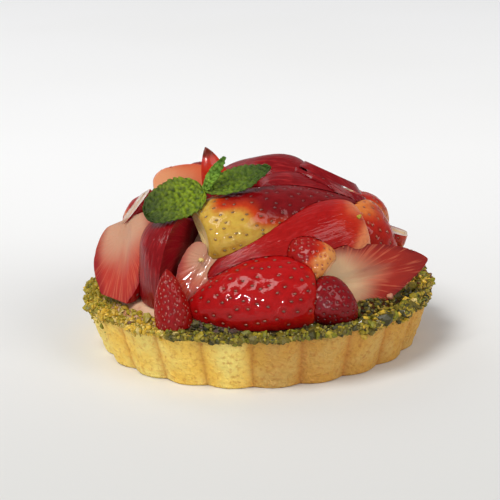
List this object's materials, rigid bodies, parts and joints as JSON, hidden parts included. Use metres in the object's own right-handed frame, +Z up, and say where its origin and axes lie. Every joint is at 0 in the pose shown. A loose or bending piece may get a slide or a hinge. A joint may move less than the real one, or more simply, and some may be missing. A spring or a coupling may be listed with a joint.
{
  "type": "strawberry tartlet",
  "caption": "Round strawberry tartlet: fluted pastry shell with a pistachio rim, pale cream, a domed heap of cut strawberries and a mint sprig.",
  "frame": {"origin": "centre of the shell's flat foot, on the surface it stands on", "axes": "+Z up through the heap of fruit; -Y is the front that the picture shows, +X its right"},
  "size_m": [0.0997, 0.099, 0.0573],
  "materials": {
    "pastry": "baked golden shortcrust, dry and grainy, with chopped pistachio on the rim",
    "cream": "smooth pale cream with a soft sheen",
    "strawberry": "wet glazed red skin with seeds; cut faces paler towards the core",
    "mint": "crinkled satin green leaf"
  },
  "bodies": {
    "root": {"tart_shell": "pastry", "cream_filling": "cream", "mint_sprig": "mint", "berry_front": "strawberry", "berry_front_left": "strawberry", "berry_front_right": "strawberry", "berry_right_cut": "strawberry", "berry_middle_small": "strawberry", "berry_middle_long": "strawberry", "berry_centre": "strawberry", "berry_middle_pale": "strawberry", "berry_left_dark": "strawberry", "berry_left_pale": "strawberry", "berry_left_upper": "strawberry", "berry_top_tip": "strawberry", "berry_top_left": "strawberry", "berry_crown_back": "strawberry", "berry_crown_front": "strawberry", "berry_fan_upper": "strawberry", "berry_fan_middle": "strawberry", "berry_fan_lower": "strawberry", "berry_right_shoulder": "strawberry", "berry_far_right": "strawberry", "berry_under_mint": "strawberry", "berry_back_1": "strawberry", "berry_back_2": "strawberry", "berry_back_3": "strawberry", "berry_back_4": "strawberry", "berry_back_5": "strawberry", "berry_back_6": "strawberry", "berry_back_7": "strawberry", "berry_back_8": "strawberry", "berry_back_9": "strawberry", "berry_back_10": "strawberry", "berry_back_11": "strawberry", "berry_back_12": "strawberry"}
  },
  "joints": []
}
